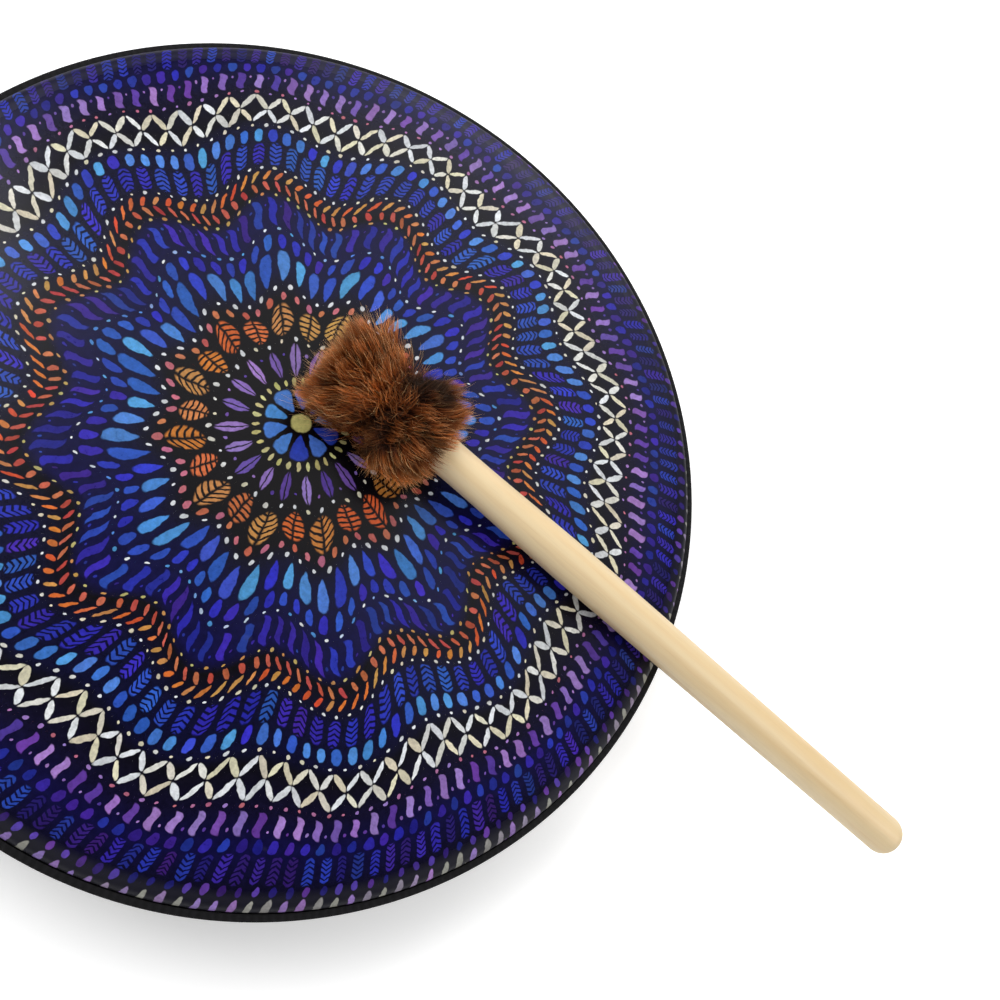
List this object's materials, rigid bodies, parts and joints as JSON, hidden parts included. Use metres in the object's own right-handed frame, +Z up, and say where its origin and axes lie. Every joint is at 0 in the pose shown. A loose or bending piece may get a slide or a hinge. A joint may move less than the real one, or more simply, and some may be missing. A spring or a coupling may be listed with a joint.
{
  "type": "shaman drum",
  "caption": "Round single-headed frame drum with a printed skin and a black rim, standing on its back edge, with a fur-headed wooden beater lying across its face.",
  "frame": {"origin": "under the middle of the whole set's footprint, on the surface that the drum stands on; the drum's own axis is 47.7 mm away towards -X", "axes": "+Z up, out of the playing face; +X along the beater, from its fur head to its handle's end; +Y completes the right-handed frame"},
  "size_m": [0.3454, 0.25, 0.0741],
  "materials": {
    "hoop_wood": "black stain, satin",
    "printed_skin": "printed in many colours on near black, satin",
    "band_strip": "black woven strip, dull",
    "handle_wood": "pale bare wood, sanded smooth",
    "brown_fur": "long brown fur, rusty at the tips"
  },
  "bodies": {
    "root": {"hoop": "hoop_wood", "drum_head": "printed_skin", "edge_band": "band_strip", "beater_handle": "handle_wood", "beater_fur_head": "brown_fur"}
  },
  "joints": []
}
